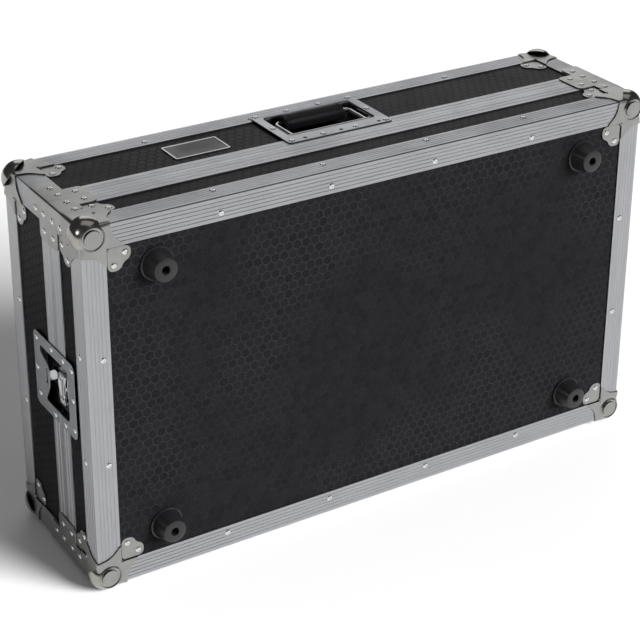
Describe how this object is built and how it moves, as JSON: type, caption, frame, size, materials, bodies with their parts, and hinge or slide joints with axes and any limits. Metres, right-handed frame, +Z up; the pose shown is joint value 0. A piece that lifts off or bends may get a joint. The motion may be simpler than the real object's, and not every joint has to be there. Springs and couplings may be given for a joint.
{
  "type": "flight case",
  "caption": "Shallow hard flight case with a lift-off lid, grooved metal edges, ball corners, recessed twist latches, a recessed swinging carry handle and rubber feet.",
  "frame": {"origin": "middle of the lowest face of the whole part's box, standing on one long side", "axes": "+X along the case's length, +Y from the base half to the lid half, +Z up, out of the long side that holds the handle"},
  "size_m": [0.814, 0.24, 0.491],
  "materials": {
    "laminate_plywood": "plywood board faced with black, hexagon-embossed laminate",
    "aluminium_extrusion": "mill-finish extruded aluminium with fine lengthwise grooves",
    "nickel_plate": "pressed steel, satin nickel plated",
    "zinc_plate": "pressed steel, bright zinc plated",
    "chrome_plate": "bright plated steel",
    "foot_rubber": "moulded black rubber",
    "grip_rubber": "smooth black rubber sleeve",
    "badge_metal": "satin plate with a plain dark field",
    "lining_foam": "charcoal lining foam"
  },
  "bodies": {
    "base": {"base_panel": "laminate_plywood", "base_wall_top": "laminate_plywood", "base_wall_bottom": "laminate_plywood", "base_wall_left": "laminate_plywood", "base_wall_right": "laminate_plywood", "base_edge_top": "aluminium_extrusion", "base_edge_bottom": "aluminium_extrusion", "base_edge_left": "aluminium_extrusion", "base_edge_right": "aluminium_extrusion", "base_rim": "aluminium_extrusion", "base_ball_corner_bottom_left": "nickel_plate", "base_brace_bottom_left": "nickel_plate", "foot_bottom_left": "foot_rubber", "base_ball_corner_bottom_right": "nickel_plate", "base_brace_bottom_right": "nickel_plate", "foot_bottom_right": "foot_rubber", "base_ball_corner_top_left": "nickel_plate", "base_brace_top_left": "nickel_plate", "foot_top_left": "foot_rubber", "base_ball_corner_top_right": "nickel_plate", "base_brace_top_right": "nickel_plate", "foot_top_right": "foot_rubber", "base_foam": "lining_foam", "latch_dish_left": "zinc_plate", "latch_dish_right": "zinc_plate"},
    "lid": {"lid_panel": "laminate_plywood", "lid_wall_top": "laminate_plywood", "lid_wall_bottom": "laminate_plywood", "lid_wall_left": "laminate_plywood", "lid_wall_right": "laminate_plywood", "lid_edge_top": "aluminium_extrusion", "lid_edge_bottom": "aluminium_extrusion", "lid_edge_left": "aluminium_extrusion", "lid_edge_right": "aluminium_extrusion", "lid_rim": "aluminium_extrusion", "lid_ball_corner_bottom_left": "nickel_plate", "lid_brace_bottom_left": "nickel_plate", "lid_corner_post_bottom_left": "aluminium_extrusion", "lid_ball_corner_bottom_right": "nickel_plate", "lid_brace_bottom_right": "nickel_plate", "lid_corner_post_bottom_right": "aluminium_extrusion", "lid_ball_corner_top_left": "nickel_plate", "lid_brace_top_left": "nickel_plate", "lid_corner_post_top_left": "aluminium_extrusion", "lid_ball_corner_top_right": "nickel_plate", "lid_brace_top_right": "nickel_plate", "lid_corner_post_top_right": "aluminium_extrusion", "lid_foam": "lining_foam", "badge_plate": "badge_metal", "handle_dish": "zinc_plate", "latch_catch_left": "zinc_plate", "latch_catch_right": "zinc_plate"},
    "handle": {"handle_bail": "chrome_plate", "handle_grip": "grip_rubber"},
    "rotor_left": {"latch_rotor_left": "chrome_plate"},
    "wing_left": {"latch_wing_left": "chrome_plate"},
    "claw_left": {"latch_claw_left": "chrome_plate"},
    "rotor_right": {"latch_rotor_right": "chrome_plate"},
    "wing_right": {"latch_wing_right": "chrome_plate"},
    "claw_right": {"latch_claw_right": "chrome_plate"}
  },
  "joints": [
    {"name": "lid_lift", "type": "slide", "parent": "base", "child": "lid", "axis": [0, 1, 0], "range_m": [0, 0.25]},
    {"name": "handle_swing", "type": "hinge", "parent": "lid", "child": "handle", "pos_m": [0, 0.0267, 0.4795], "axis": [1, 0, 0], "range_deg": [0, 90]},
    {"name": "latch_turn_left", "type": "hinge", "parent": "base", "child": "rotor_left", "pos_m": [-0.395, -0.0185, 0.2455], "axis": [1, 0, 0], "range_deg": [0, 180]},
    {"name": "wing_fold_left", "type": "hinge", "parent": "rotor_left", "child": "wing_left", "pos_m": [-0.3976, -0.01, 0.2455], "axis": [0, 0, -1], "range_deg": [0, 90]},
    {"name": "claw_slide_left", "type": "slide", "parent": "base", "child": "claw_left", "axis": [0, 1, 0], "range_m": [0, 0.01]},
    {"name": "latch_turn_right", "type": "hinge", "parent": "base", "child": "rotor_right", "pos_m": [0.395, -0.0185, 0.2455], "axis": [1, 0, 0], "range_deg": [0, 180]},
    {"name": "wing_fold_right", "type": "hinge", "parent": "rotor_right", "child": "wing_right", "pos_m": [0.3976, -0.01, 0.2455], "axis": [0, 0, 1], "range_deg": [0, 90]},
    {"name": "claw_slide_right", "type": "slide", "parent": "base", "child": "claw_right", "axis": [0, 1, 0], "range_m": [0, 0.01]}
  ],
  "couplings": [
    {"joint": "claw_slide_left", "follows": "latch_turn_left", "m_per_rad": 0.00318},
    {"joint": "claw_slide_right", "follows": "latch_turn_right", "m_per_rad": 0.00318}
  ]
}
